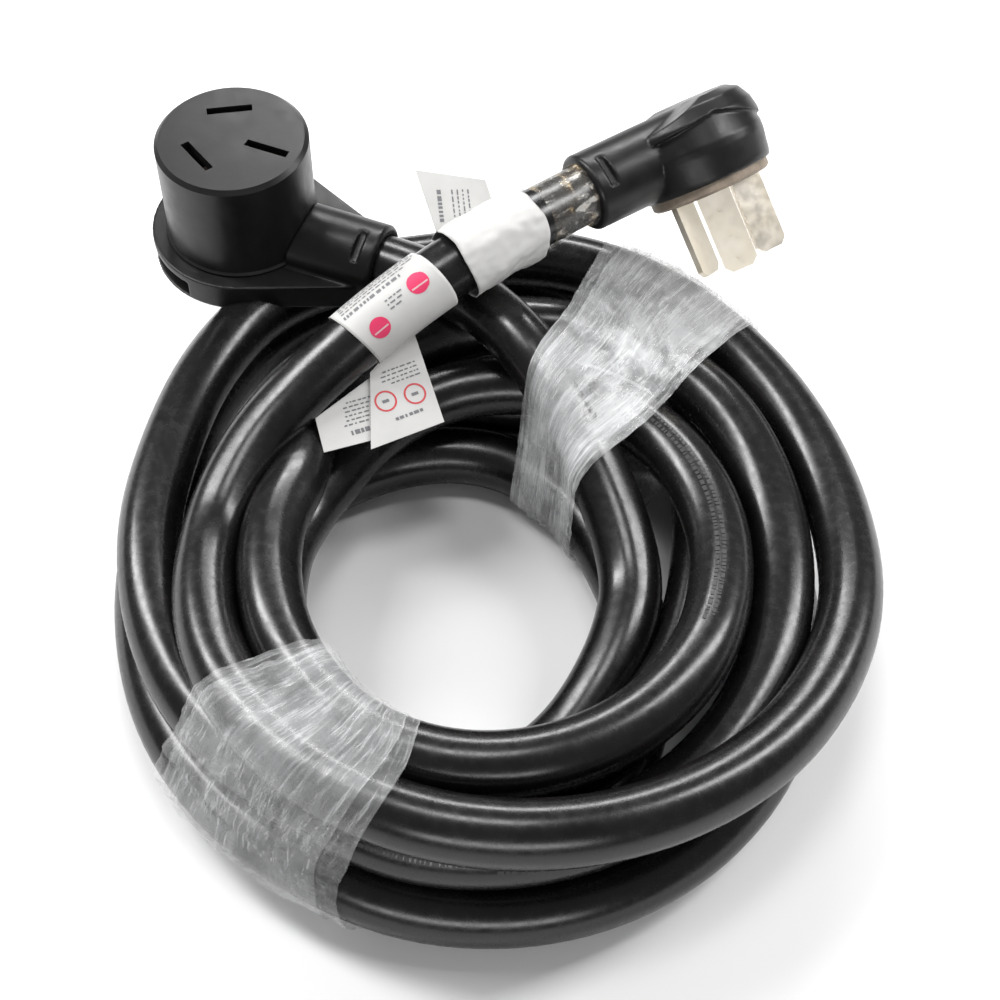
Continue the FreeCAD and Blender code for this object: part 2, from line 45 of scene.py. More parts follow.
# ---- sizes shared with the CAD ----
CORD_R = 0.0115
JACKET_ENTRY = 0.014
COIL_LIFT = 0.0012
PLUG_NECK_END = Vector((0.0314, 0.108, 0.087))
PLUG_WAY = Vector((math.cos(math.radians(33)), math.sin(math.radians(33)), 0))
CONNECTOR_AXIS = Vector((-0.102, 0.1205, 0.0444))
CONNECTOR_WAY = Vector((math.cos(math.radians(22.2)), -math.sin(math.radians(22.2)), 0))
NECK_R = 0.0152
WINDOW_BACK = 0.009
CONNECTOR_NECK_END = CONNECTOR_AXIS + CONNECTOR_WAY * 0.0613 + Vector((0, 0, 0.0152))
INNER_CENTRE, INNER_HALF = (-0.018, -0.038), (0.066, 0.0755)
OUTER_CENTRE, OUTER_HALF = (-0.001, -0.0118), (0.1313, 0.1418)
WRAP_R = CORD_R + 0.0008
WRAP_LONG = 0.037
WRAP_SPOT = (-0.038, 0.0535, 0.0845)
SLEEVE_R = CORD_R + 0.0023
SLEEVE_LONG = 0.033
SLEEVE_SPOT = (-0.001, 0.080, 0.092)

# ---- sizes of the visual pieces only ----
WINDOW_LONG, WINDOW_WIDE, WINDOW_DEEP = 0.013, 0.0032, 0.0035
TAPE_START, TAPE_LONG, TAPE_ROUND = -0.0255, 0.024, 0.075
FILM_ROWS, FILM_COLUMNS, FILM_LAYERS = 70, 320, 2
FILM_OUT, FILM_ROUND = 0.09, 0.45
FILM_LIFT, LAYER_LIFT = 0.0004, 0.0006
FOLD_HIGH, CRUMPLE_HIGH, EDGE_HIGH = 0.0013, 0.0006, 0.0012
FILM_GAP = 0.0006
SPOKES = 160
# azimuths of each film's two edges, on the coil's outside and on its inside
NEAR_OUTSIDE, NEAR_INSIDE = (202, 232), (181, 229)
FAR_OUTSIDE, FAR_INSIDE = (21, 51), (25, 58)
PAPER_THICK, SLEEVE_THICK = 0.0002, 0.0003
VOXEL = 0.00056
PRINT_LIFT, BAR_LIFT, FLAT_LIFT, JACKET_PRINT_LIFT = 0.00034, 0.00046, 0.00012, 0.00008
STROKE_SHORT, STROKE_LONG, STROKE_HIGH = 0.0006, 0.0022, 0.00055
STROKE_GAP = (0.0004, 0.0009)

# ---- print on each paper, placed from the paper's middle ----
WRAP_SHIFT = -0.002
WRAP_DOTS = ((0.0114, 0.0055), (-0.0084, 0.0100))
WRAP_BARS = ((0.0114, 0.0066), (-0.0084, 0.0108))
DOT_R, BAR_LONG, BAR_HIGH = 0.0039, 0.0062, 0.0006
FLAG_RINGS = ((0.0012, 0.0084), (0.0125, 0.0072))
RING_R, RING_THICK = 0.0042, 0.0007
SIGN_LONG, SIGN_HIGH = 0.0026, 0.0012
# rows of strokes: name, start, first row, length, rows, pitch, seed, boldness
WRAP_LINES = [("wrap_line", -0.0015, 0.0072, 0.006, 3, 0.0017, 5, 1.0)]
WRAP_SMALL = [("wrap_small", -0.0165, -0.0035, 0.033, 5, 0.0016, 3, 1.0),
              ("wrap_bold", -0.0165, -0.0012, 0.031, 1, 0.0, 4, 2.4)]
FLAG_1_TEXT = [("flag_small", -0.004, 0.0015, 0.014, 4, 0.0017, 8, 1.0),
               ("flag_bold", 0.001, 0.0152, 0.012, 1, 0.0, 9, 2.2)]
FLAG_2_TEXT = [("flag_small", -0.0095, 0.0045, 0.019, 6, 0.0017, 10, 1.0),
               ("flag_bold", -0.0095, 0.0078, 0.018, 1, 0.0, 11, 3.2)]
TAG_TEXT = [("tag_small", -0.006, 0.008, 0.014, 4, 0.0022, 12, 1.0),
            ("tag_bold", -0.006, -0.004, 0.014, 1, 0.0, 13, 3.0)]
# ways the flat papers' print reads
FLAG_1_WAY, FLAG_2_WAY, TAG_WAY = (-0.9, -0.44, 0), (-0.93, -0.36, 0), (0.3, -0.9, 0)
# print on the jacket: a place near it, angle round the cord, length, seed
JACKET_STRETCHES = [((0.083, -0.020, 0.042), 0.1, 0.20, 21),
                    ((0.034, -0.130, 0.050), -0.9, 0.16, 22)]

# ---- the cord's route: free leads as listed points, turns by quarter ----
LEAD_STRAIGHT = 0.009
CONNECTOR_LEAD = [(-0.020, 0.082, 0.064), (-0.004, 0.0675, 0.0665), (0.010, 0.0495, 0.0665),
                  (0.023, 0.0295, 0.0605), (0.035, 0.007, 0.049)]
PLUG_LEAD = [(-0.103, -0.027, 0.052), (-0.097, -0.006, 0.056), (-0.087, 0.013, 0.061),
             (-0.073, 0.028, 0.067), (-0.057, 0.041, 0.075), (-0.038, 0.0535, 0.0845),
             (-0.019, 0.066, 0.091), (-0.001, 0.080, 0.092), (0.016, 0.0945, 0.0895)]
# each turn where it passes a quarter, clockwise from +Y: share of the coil's width, height in mm
TURNS = {90: [(0.00, 34), (0.02, 12), (0.68, 12), (0.28, 20), (0.40, 40), (0.66, 37), (0.94, 30)],
         180: [(-0.05, 12), (0.50, 12), (1.00, 12), (0.20, 33), (0.36, 54), (0.86, 37), (0.88, 60)],
         270: [(0.00, 12), (0.46, 12), (0.97, 14), (0.02, 34), (0.05, 56), (0.93, 36), (0.40, 52)],
         360: [(0.03, 12), (0.24, 20), (0.98, 14), (0.20, 42), (0.48, 44), (0.84, 34)]}
COIL_ENTRY = (0.044, -0.016, 0.0415)
# extra share of the width where a turn strays between quarters, by turn and azimuth
STRAYS = {(2, 30): 0.05, (2, 45): 0.12, (2, 60): 0.17, (2, 75): 0.11,
          (2, 300): 0.08, (2, 315): 0.14, (2, 330): 0.08,
          (5, 300): 0.08, (5, 315): 0.14, (5, 330): 0.08,
          (6, 30): -0.03, (6, 45): -0.05, (6, 60): -0.06, (6, 75): -0.06, (6, 90): -0.04}
LAST_TURN = 6
LAST_AZIMUTH = 270
STEP = 15

# ---- how the turns settle against each other ----
SETTLE_ROUNDS = 260
SMOOTH_ROUNDS = SETTLE_ROUNDS - 30
SMOOTH_SHARE = 0.35
TURN_ROOM = 1.01
INNER_ROOM, OUTER_ROOM = 0.003, 0.005
BULGE_ROOM, BULGE_FROM, BULGE_TO = 0.009, 290, 340

# ---- camera ----
CAMERA_PLACE = (0, -0.4373, 0.6362)
CAMERA_DOWN = 53.9
LENS, SENSOR = 72, 36


def ring(azimuth):
    """Innermost centre-line point, outward direction and width of the coil at an azimuth."""
    a = math.radians(azimuth)
    inner = Vector((INNER_CENTRE[0] + INNER_HALF[0] * math.sin(a),
                    INNER_CENTRE[1] + INNER_HALF[1] * math.cos(a), 0))
    outer = Vector((OUTER_CENTRE[0] + OUTER_HALF[0] * math.sin(a),
                    OUTER_CENTRE[1] + OUTER_HALF[1] * math.cos(a), 0))
    return inner, (outer - inner).normalized(), (outer - inner).length


def crossings(line, azimuth):
    """Where a line passes the coil's section at an azimuth: distance outward and height."""
    inner, outward, _ = ring(azimuth)
    found = []
    for a, b in zip(line[:-1], line[1:]):
        side_a = outward.x * (a.y - inner.y) - outward.y * (a.x - inner.x)
        side_b = outward.x * (b.y - inner.y) - outward.y * (b.x - inner.x)
        if (side_a > 0) != (side_b > 0):
            point = a.lerp(b, side_a / (side_a - side_b))
            s = (point - inner).x * outward.x + (point - inner).y * outward.y
            if s > -3 * CORD_R:
                found.append((s, point.z))
    return found


def between(p0, p1, p2, p3, t):
    """Catmull-Rom value between p1 and p2."""
    return 0.5 * (2 * p1 + (p2 - p0) * t + (2 * p0 - 5 * p1 + 4 * p2 - p3) * t * t
                  + (3 * p1 - p0 - 3 * p2 + p3) * t ** 3)


def on_ring(place):
    """Point in space for an azimuth, a share of the coil's width and a height."""
    inner, outward, width = ring(place[0])
    return inner + outward * (place[1] * width) + Vector((0, 0, place[2]))


def turn_places():
    """Azimuth, distance outward and height of the turns' points, in order along the cord."""
    keys = []
    for turn in range(LAST_TURN + 1):
        for azimuth in (90, 180, 270, 360):
            if turn < LAST_TURN or azimuth <= LAST_AZIMUTH:
                share, height = TURNS[azimuth][turn]
                keys.append((turn * 360 + azimuth, share, height / 1000 + COIL_LIFT))
    places = []
    for i in range(len(keys) - 1):
        around = [keys[max(i - 1, 0)], keys[i], keys[i + 1], keys[min(i + 2, len(keys) - 1)]]
        for step in range(90 // STEP):
            t = step * STEP / 90
            share = between(*(k[1] for k in around), t)
            share += STRAYS.get(divmod(round(keys[i][0] + 90 * t), 360), 0)
            height = between(*(k[2] for k in around), t)
            places.append([keys[i][0] + 90 * t, share, height])
    places.append(list(keys[-1]))
    return places


def settle(places, leads):
    """Push turns that lie in each other apart, spreading each push along the cord."""
    widths = [ring(p[0])[2] for p in places]
    chosen = np.array([(p[1] * w, p[2]) for p, w in zip(places, widths)])
    at = chosen.copy()
    limit = np.array(widths) + [BULGE_ROOM if BULGE_FROM < p[0] % 360 < BULGE_TO else OUTER_ROOM
                                for p in places]
    groups = {}
    for i, p in enumerate(places):
        groups.setdefault(round(p[0]) % 360, []).append(i)
    fixed = {azimuth: [c for lead in leads for c in crossings(lead, azimuth)] for azimuth in groups}
    apart = 2 * CORD_R * TURN_ROOM
    floor = CORD_R + COIL_LIFT
    for round_ in range(SETTLE_ROUNDS):
        for azimuth, members in groups.items():
            for n, i in enumerate(members):
                for j in members[n + 1:]:
                    gap = at[j] - at[i]
                    far = max(float(np.hypot(*gap)), 1e-5)
                    if far < apart:
                        push = gap / far * (apart - far) * 0.5
                        at[i] -= push
                        at[j] += push
                for place in fixed[azimuth]:
                    gap = at[i] - np.array(place)
                    far = max(float(np.hypot(*gap)), 1e-5)
                    if far < apart and 1 < i < len(at) - 2:
                        at[i] += gap / far * (apart - far)
        at[:, 1] = np.maximum(at[:, 1], floor)
        at[:, 0] = np.clip(at[:, 0], -INNER_ROOM, limit)
        if round_ < SMOOTH_ROUNDS:
            moved = at - chosen
            moved[1:-1] += ((moved[:-2] + moved[2:]) / 2 - moved[1:-1]) * SMOOTH_SHARE
            moved[[0, -1]] = 0
            at = chosen + moved
    points = []
    for place, (s, z) in zip(places, at):
        inner, outward, _ = ring(place[0])
        points.append(inner + outward * s + Vector((0, 0, z)))
    return points


def cord_points():
    """Control points of the whole cord, from inside the connector to inside the plug."""
    start = [CONNECTOR_NECK_END - CONNECTOR_WAY * JACKET_ENTRY,
             CONNECTOR_NECK_END + CONNECTOR_WAY * LEAD_STRAIGHT]
    start += [Vector(p) for p in CONNECTOR_LEAD + [COIL_ENTRY]]
    end = [Vector(p) for p in PLUG_LEAD]
    end += [PLUG_NECK_END, PLUG_NECK_END + PLUG_WAY * JACKET_ENTRY]
    places = turn_places()
    turns = settle(places, [start + [on_ring(places[0])], end])
    return start + turns[:-1] + end


# ---------------------------------------------------------------- making objects
def link(name, data):
    obj = bpy.data.objects.new(name, data)
    bpy.context.scene.collection.objects.link(obj)
    return obj


def made_plain(obj):
    """The object with its modifiers applied, as a plain mesh at the origin."""
    evaluated = obj.evaluated_get(bpy.context.evaluated_depsgraph_get())
    mesh = bpy.data.meshes.new_from_object(evaluated)
    name = obj.name
    bpy.data.objects.remove(obj)
    mesh.name = name
    return link(name, mesh)


def line_of(curve):
    """Points along a curve's own line."""
    bare = curve.data.copy()
    bare.bevel_depth = 0
    probe = link("probe", bare)
    bpy.context.view_layer.update()
    mesh = bpy.data.meshes.new_from_object(probe.evaluated_get(
        bpy.context.evaluated_depsgraph_get()))
    points = [v.co.copy() for v in mesh.vertices]
    bpy.data.objects.remove(probe)
    return points


def grid_mesh(name, rows, columns, place, closed=False, spread=None):
    """Sheet of quads: place(u, v) gives a point for u and v from 0 to 1; UVs are in metres."""
    bm = bmesh.new()
    uv = bm.loops.layers.uv.new("UVMap")
    wide, long = spread or (1, 1)
    verts = []
    for i in range(rows + 1):
        count = columns if closed else columns + 1
        verts.append([bm.verts.new(place(i / rows, j / columns)) for j in range(count)])
    for i in range(rows):
        for j in range(columns):
            after = (j + 1) % len(verts[i]) if closed else j + 1
            face = bm.faces.new((verts[i][j], verts[i + 1][j], verts[i + 1][after], verts[i][after]))
            face.smooth = True
            for loop, (a, b) in zip(face.loops, ((i, j), (i + 1, j), (i + 1, j + 1), (i, j + 1))):
                loop[uv].uv = (a / rows * wide, b / columns * long)
    mesh = bpy.data.meshes.new(name)
    bm.to_mesh(mesh)
    bm.free()
    return link(name, mesh)


# ---------------------------------------------------------------- materials
class Finish:
    """A material with one Principled shader and a few short ways to add nodes."""

    def __init__(self, name):
        self.material = bpy.data.materials.new(name)
        self.material.use_nodes = True
        tree = self.material.node_tree
        tree.nodes.clear()
        self.nodes, self.links = tree.nodes, tree.links
        self.shader = self.nodes.new("ShaderNodeBsdfPrincipled")
        out = self.nodes.new("ShaderNodeOutputMaterial")
        self.links.new(self.shader.outputs["BSDF"], out.inputs["Surface"])
        self.normal = None

    def set(self, **values):
        for name, value in values.items():
            self.shader.inputs[name.replace("_", " ")].default_value = value
        return self

    def coords(self, kind="Object", stretch=(1, 1, 1), turn=(0, 0, 0)):
        source = self.nodes.new("ShaderNodeTexCoord")
        mapping = self.nodes.new("ShaderNodeMapping")
        mapping.inputs["Scale"].default_value = stretch
        mapping.inputs["Rotation"].default_value = turn
        self.links.new(source.outputs[kind], mapping.inputs["Vector"])
        return mapping.outputs["Vector"]

    def noise(self, coords, scale, detail=4, rough=0.5, warp=0.0):
        node = self.nodes.new("ShaderNodeTexNoise")
        node.inputs["Scale"].default_value = scale
        node.inputs["Detail"].default_value = detail
        node.inputs["Roughness"].default_value = rough
        node.inputs["Distortion"].default_value = warp
        self.links.new(coords, node.inputs["Vector"])
        return node.outputs["Fac"]

    def ramp(self, source, stops):
        node = self.nodes.new("ShaderNodeValToRGB")
        elements = node.color_ramp.elements
        while len(elements) < len(stops):
            elements.new(0.5)
        for element, (at, value) in zip(elements, stops):
            element.position = at
            element.color = value if isinstance(value, tuple) else (value, value, value, 1)
        self.links.new(source, node.inputs["Fac"])
        return node.outputs["Color"]

    def math(self, kind, a, b):
        node = self.nodes.new("ShaderNodeMath")
        node.operation = kind
        for socket, value in zip(node.inputs, (a, b)):
            if isinstance(value, (int, float)):
                socket.default_value = value
            else:
                self.links.new(value, socket)
        return node.outputs["Value"]

    def feed(self, name, source):
        self.links.new(source, self.shader.inputs[name])
        return self

    def bump(self, source, distance, strength=1.0):
        node = self.nodes.new("ShaderNodeBump")
        node.inputs["Distance"].default_value = distance
        node.inputs["Strength"].default_value = strength
        self.links.new(source, node.inputs["Height"])
        if self.normal:
            self.links.new(self.normal, node.inputs["Normal"])
        self.normal = node.outputs["Normal"]
        self.links.new(self.normal, self.shader.inputs["Normal"])
        return self


def rgb(r, g, b):
    return (r, g, b, 1)


def jacket_finish():
    """Glossy black jacket with faint scuffs and soft unevenness."""
    f = Finish("cord_jacket_gloss").set(Specular_IOR_Level=0.5)
    object_space = f.coords()
    cloud = f.noise(object_space, 55, 5)
    dark, light = rgb(0.003, 0.003, 0.003), rgb(0.008, 0.007, 0.007)
    f.feed("Base Color", f.ramp(cloud, [(0.3, dark), (0.75, light)]))
    scuff = f.noise(object_space, 240, 6, 0.65)
    f.feed("Roughness", f.ramp(scuff, [(0.35, 0.22), (0.75, 0.33)]))
    f.bump(f.noise(object_space, 900, 3), 0.00003, 0.25)
    f.bump(f.noise(object_space, 70, 2), 0.0003, 0.35)
    return f.material


def moulding_finish():
    """Semi-gloss black moulded vinyl with a fine even grain."""
    f = Finish("black_moulding").set(Specular_IOR_Level=0.32)
    object_space = f.coords()
    cloud = f.noise(object_space, 40, 5)
    dark, light = rgb(0.005, 0.005, 0.005), rgb(0.010, 0.009, 0.009)
    f.feed("Base Color", f.ramp(cloud, [(0.3, dark), (0.75, light)]))
    scuff = f.noise(object_space, 150, 6, 0.6)
    f.feed("Roughness", f.ramp(scuff, [(0.3, 0.30), (0.75, 0.44)]))
    f.bump(f.noise(object_space, 1800, 2), 0.00004, 0.5)
    f.bump(f.noise(object_space, 70, 3), 0.0003, 0.3)
    return f.material


def carrier_finish():
    """Warm grey moulded carrier, mottled."""
    f = Finish("blade_carrier_grey").set(Specular_IOR_Level=0.4)
    object_space = f.coords()
    cloud = f.noise(object_space, 160, 6)
    f.feed("Base Color", f.ramp(cloud, [(0.3, rgb(0.16, 0.125, 0.095)), (0.7, rgb(0.33, 0.27, 0.21))]))
    f.feed("Roughness", f.ramp(cloud, [(0.3, 0.5), (0.7, 0.68)]))
    f.bump(f.noise(object_space, 1300, 2), 0.00006, 0.6)
    return f.material


def metal_finish(name, dark, light, low, high):
    """Plated or bare metal, softly clouded, with even roughness."""
    f = Finish(name).set(Metallic=1.0)
    cloud = f.noise(f.coords(), 70, 4)
    f.feed("Base Color", f.ramp(cloud, [(0.35, dark), (0.65, light)]))
    grain = f.noise(f.coords(), 260, 4)
    f.feed("Roughness", f.ramp(grain, [(0.3, low), (0.7, high)]))
    return f.material


def plain_finish(name, colour, rough):
    """One colour, very faintly clouded."""
    f = Finish(name).set(Specular_IOR_Level=0.4)
    object_space = f.coords()
    cloud = f.noise(object_space, 120, 4)
    soft = tuple(c * 0.85 for c in colour[:3]) + (1,)
    f.feed("Base Color", f.ramp(cloud, [(0.3, soft), (0.7, colour)]))
    f.feed("Roughness", f.ramp(cloud, [(0.3, rough - 0.06), (0.7, rough + 0.06)]))
    f.bump(f.noise(object_space, 1500, 2), 0.00003, 0.4)
    return f.material


def film_finish(name, milk):
    """Clear stretch film: nearly invisible, milky where it gathers, with bright streaks that are painted
    highlights along its creases.
    """
    f = Finish(name).set(Specular_IOR_Level=0.8, Base_Color=rgb(0.80, 0.81, 0.82))
    streak_space = f.coords("UV", stretch=(1, 0.09, 1), turn=(0, 0, 0.15))
    streaks = f.noise(streak_space, 420, 7, 0.62, 0.8)
    broad = f.noise(streak_space, 95, 5, 0.6, 1.2)
    patches = f.noise(f.coords("UV"), 30, 4, 0.55, 0.5)
    # fine and wide streak masks: painted highlights, where the film shows its pale colour and its gloss
    fine = f.ramp(streaks, [(0.52, 0.0), (0.68, 1.0)])
    wide = f.ramp(broad, [(0.50, 0.0), (0.70, 1.0)])
    milky = f.ramp(patches, [(0.38, 0.0), (0.66, 1.0)])
    painted_sheen_and_milk = f.math("ADD", f.math("MULTIPLY", fine, 0.24), f.math("MULTIPLY", wide, 0.16))
    painted_sheen_and_milk = f.math("ADD", painted_sheen_and_milk, f.math("MULTIPLY", milky, milk))
    f.feed("Alpha", f.math("ADD", painted_sheen_and_milk, 0.07 + milk * 0.25))
    f.feed("Roughness", f.ramp(streaks, [(0.3, 0.16), (0.7, 0.34)]))
    f.bump(broad, 0.0010, 0.7)
    f.bump(streaks, 0.0004, 0.6)
    return f.material


def tape_finish():
    """Clear tape over black cord: golden patches where its glue has lifted, and pale streaks that are
    painted highlights.
    """
    f = Finish("clear_tape_painted_glints").set(Specular_IOR_Level=0.8)
    streaks = f.noise(f.coords("UV", stretch=(0.35, 1, 1)), 260, 6, 0.6, 0.8)
    patches = f.noise(f.coords("UV", stretch=(1.0, 0.5, 1)), 130, 4, 0.6, 0.6)
    clear, golden = rgb(0.78, 0.76, 0.72), rgb(0.52, 0.40, 0.24)
    f.feed("Base Color", f.ramp(patches, [(0.42, clear), (0.62, golden)]))
    # streak mask: painted glints, where the tape shows its pale colour
    painted_glint = f.math("MULTIPLY", f.ramp(streaks, [(0.53, 0.0), (0.62, 1.0)]), 0.45)
    lifted = f.math("MULTIPLY", f.ramp(patches, [(0.55, 0.0), (0.66, 1.0)]), 0.40)
    f.feed("Alpha", f.math("ADD", f.math("ADD", painted_glint, lifted), 0.05))
    f.feed("Roughness", f.ramp(streaks, [(0.3, 0.10), (0.7, 0.26)]))
    f.bump(streaks, 0.0006, 0.9)
    return f.material


def paper_finish():
    """Off-white label paper."""
    f = Finish("label_paper").set(Specular_IOR_Level=0.35)
    object_space = f.coords()
    cloud = f.noise(object_space, 60, 5)
    dark, light = rgb(0.47, 0.465, 0.455), rgb(0.54, 0.535, 0.525)
    f.feed("Base Color", f.ramp(cloud, [(0.3, dark), (0.7, light)]))
    f.feed("Roughness", f.ramp(cloud, [(0.3, 0.40), (0.7, 0.55)]))
    f.bump(f.noise(object_space, 2500, 2), 0.00003, 0.4)
    f.bump(f.noise(object_space, 60, 2), 0.0004, 0.3)
    return f.material


# ---------------------------------------------------------------- cord
def make_cord():
    """The whole cord as one round curve."""
    points = cord_points()
    data = bpy.data.curves.new("power_cord", "CURVE")
    data.dimensions = "3D"
    spline = data.splines.new("NURBS")
    spline.points.add(len(points) - 1)
    for control, place in zip(spline.points, points):
        control.co = (*place, 1)
    spline.order_u = 3
    spline.use_endpoint_u = True
    spline.resolution_u = 6
    spline.use_smooth = True
    data.bevel_depth = CORD_R
    data.bevel_resolution = 8
    data.use_fill_caps = True
    return link("power_cord", data)


# ---------------------------------------------------------------- mouldings
def softened(node, name, held):
    """A moulded piece with the CAD's shape and softly rounded edges, solid round what it holds."""
    bm = bmesh.new()
    for source in [node] + held:
        bm.from_mesh(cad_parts[source].data)
    bmesh.ops.remove_doubles(bm, verts=bm.verts, dist=1e-6)
    mesh = bpy.data.meshes.new(name)
    bm.to_mesh(mesh)
    bm.free()
    obj = link(name, mesh)
    remesh = obj.modifiers.new("even", "REMESH")
    remesh.mode = "VOXEL"
    remesh.voxel_size = VOXEL
    remesh.use_smooth_shade = True
    smooth = obj.modifiers.new("round", "SMOOTH")
    smooth.factor = 0.5
    smooth.iterations = 4
    obj = made_plain(obj)
    obj.data.materials.clear()
    return obj


# ---------------------------------------------------------------- film
def hull(points):
    """Convex hull of 2-D points, anticlockwise."""
    points = sorted(set(points))
    halves = []
    for run in (points, points[::-1]):
        chain = []
        for p in run:
            while len(chain) > 1 and ((chain[-1][0] - chain[-2][0]) * (p[1] - chain[-2][1])
                                      - (chain[-1][1] - chain[-2][1]) * (p[0] - chain[-2][0])) <= 0:
                chain.pop()
            chain.append(p)
        halves += chain[:-1]
    return halves


def wrapped_section(line, azimuth, gap):
    """Distance of a tight film from the section's middle, one for each spoke round it."""
    circle = [(math.cos(a), math.sin(a)) for a in np.linspace(0, 2 * math.pi, 24, endpoint=False)]
    r = CORD_R + gap
    points = [(s + r * c, z + r * d) for s, z in crossings(line, azimuth) for c, d in circle]
    outline = hull(points)
    middle = Vector((sum(p[0] for p in outline) / len(outline),
                     sum(p[1] for p in outline) / len(outline)))
    reach = []
    for k in range(SPOKES):
        a = 2 * math.pi * k / SPOKES
        way = Vector((math.cos(a), math.sin(a)))
        best = 0
        for p, q in zip(outline, outline[1:] + outline[:1]):
            edge = Vector(q) - Vector(p)
            from_middle = Vector(p) - middle
            cross = way.x * edge.y - way.y * edge.x
            if abs(cross) > 1e-12:
                t = (from_middle.x * edge.y - from_middle.y * edge.x) / cross
                u = (from_middle.x * way.y - from_middle.y * way.x) / cross
                if t > 0 and -1e-6 <= u <= 1 + 1e-6:
                    best = max(best, t)
        reach.append(best)
    return middle, reach


def make_film(name, line, outside, inside, seed):
    """Bands of film round the coil; outside and inside are the azimuths of their two edges."""
    low = math.floor(min(outside[0], inside[0]) - 6)
    high = math.ceil(max(outside[1], inside[1]) + 6)
    sections = {a: wrapped_section(line, a, FILM_GAP) for a in range(low, high + 1)}
    parts = []
    for layer in range(FILM_LAYERS):
        shrink = layer * 0.16
        shift = Vector((seed * 3.7 + layer * 11.1, seed, layer))

        def place(u, v):
            spoke = v * SPOKES
            a = 2 * math.pi * v
            inner_share = (1 - math.cos(a)) / 2
            first = outside[0] + (inside[0] - outside[0]) * inner_share
            last = outside[1] + (inside[1] - outside[1]) * inner_share
            wander = noise.noise(Vector((math.cos(a) * 1.3, math.sin(a) * 1.3, 0)) + shift) * 1.1
            span = last - first
            first += span * shrink * 0.6 + wander
            last -= span * shrink * 0.4 - wander * 0.6
            azimuth = first + (last - first) * u
            whole = min(max(int(math.floor(azimuth)), low), high - 1)
            mix = azimuth - whole
            k = int(spoke) % SPOKES
            part = spoke - int(spoke)

            def reach(section):
                return section[1][k] * (1 - part) + section[1][(k + 1) % SPOKES] * part
            near, far = sections[whole], sections[whole + 1]
            r = reach(near) * (1 - mix) + reach(far) * mix
            middle = near[0].lerp(far[0], mix)
            lay = Vector((u * 9, math.cos(a) * 1.2, math.sin(a) * 1.2)) + shift
            fold = abs(noise.noise(lay)) + 0.5 * abs(noise.noise(lay * 2.3))
            fold += 0.25 * abs(noise.noise(lay * 5.1))
            crumple = abs(noise.noise(Vector((u * 5, math.cos(a) * 6, math.sin(a) * 6)) + shift))
            edge = (2 * u - 1) ** 6
            lift = FILM_LIFT + LAYER_LIFT * layer + FOLD_HIGH * fold
            r += lift + CRUMPLE_HIGH * crumple + EDGE_HIGH * edge * crumple
            s, z = middle.x + r * math.cos(a), middle.y + r * math.sin(a)
            inner, outward, _ = ring(azimuth)
            return inner + outward * s + Vector((0, 0, max(z, 0.0003)))
        parts.append(grid_mesh(f"{name}_{layer}", FILM_ROWS, FILM_COLUMNS, place, closed=True,
                               spread=(FILM_OUT, FILM_ROUND)))
    return joined(name, parts)


def joined(name, objects):
    """One mesh object from several."""
    bm = bmesh.new()
    materials = []
    for obj in objects:
        mesh = obj.data
        for material in mesh.materials:
            if material not in materials:
                materials.append(material)
        offset = [materials.index(m) for m in mesh.materials]
        start = len(bm.faces)
        bm.from_mesh(mesh)
        bm.faces.ensure_lookup_table()
        for face in bm.faces[start:]:
            face.material_index = offset[face.material_index] if offset else 0
        bpy.data.objects.remove(obj)
    mesh = bpy.data.meshes.new(name)
    bm.to_mesh(mesh)
    bm.free()
    for material in materials:
        mesh.materials.append(material)
    return link(name, mesh)


# ---------------------------------------------------------------- labels and tape
class Along:
    """Places round the cord: a along its line from a given spot, angle round it from the top."""

    def __init__(self, line, near):
        self.line = line
        self.lengths = [0.0]
        for a, b in zip(line[:-1], line[1:]):
            self.lengths.append(self.lengths[-1] + (b - a).length)
        spot = min(range(len(line)), key=lambda i: (line[i] - near).length)
        self.zero = self.lengths[spot]

    def frame(self, a):
        want = self.zero + a
        i = max(min(int(np.searchsorted(self.lengths, want)) - 1, len(self.line) - 2), 0)
        share = (want - self.lengths[i]) / (self.lengths[i + 1] - self.lengths[i])
        point = self.line[i].lerp(self.line[i + 1], share)
        before = self.line[max(i - 2, 0)]
        after = self.line[min(i + 3, len(self.line) - 1)]
        way = (after - before).normalized()
        side = way.cross(Vector((0, 0, 1))).normalized()
        return point, side, side.cross(way)

    def place(self, a, angle, radius):
        """angle 0 is the top, and grows towards the camera's side."""
        point, side, up = self.frame(a)
        return point + up * (math.cos(angle) * radius) + side * (math.sin(angle) * radius)


def mark(name, outline, place, material, segments=1):
    """Flat printed shape: an outline in label units, laid on the paper by place(u, v)."""
    bm = bmesh.new()
    face = bm.faces.new([bm.verts.new((u, v, 0)) for u, v in outline])
    if segments > 1:
        bmesh.ops.triangulate(bm, faces=[face])
        bmesh.ops.subdivide_edges(bm, edges=bm.edges, cuts=segments, use_grid_fill=True)
    for vert in bm.verts:
        vert.co = place(vert.co.x, vert.co.y)
    bmesh.ops.triangulate(bm, faces=bm.faces)
    mesh = bpy.data.meshes.new(name)
    bm.to_mesh(mesh)
    bm.free()
    mesh.materials.append(material)
    return link(name, mesh)


def disc(cu, cv, r, count=28):
    """Outline of a round dot."""
    return [(cu + r * math.cos(2 * math.pi * k / count), cv + r * math.sin(2 * math.pi * k / count))
            for k in range(count)]


def bar(cu, cv, wide, high):
    """Outline of a bar."""
    return [(cu - wide / 2, cv - high / 2), (cu + wide / 2, cv - high / 2),
            (cu + wide / 2, cv + high / 2), (cu - wide / 2, cv + high / 2)]


def ring_marks(name, cu, cv, r, thick, place, material, count=28):
    """A plain printed ring, as short flat pieces."""
    parts = []
    for k in range(count):
        a, b = 2 * math.pi * k / count, 2 * math.pi * (k + 1) / count
        corners = [(cu + q * math.cos(t), cv + q * math.sin(t))
                   for q, t in ((r - thick, a), (r, a), (r, b), (r - thick, b))]
        parts.append(mark(f"{name}_{k}", corners, place, material))
    return parts


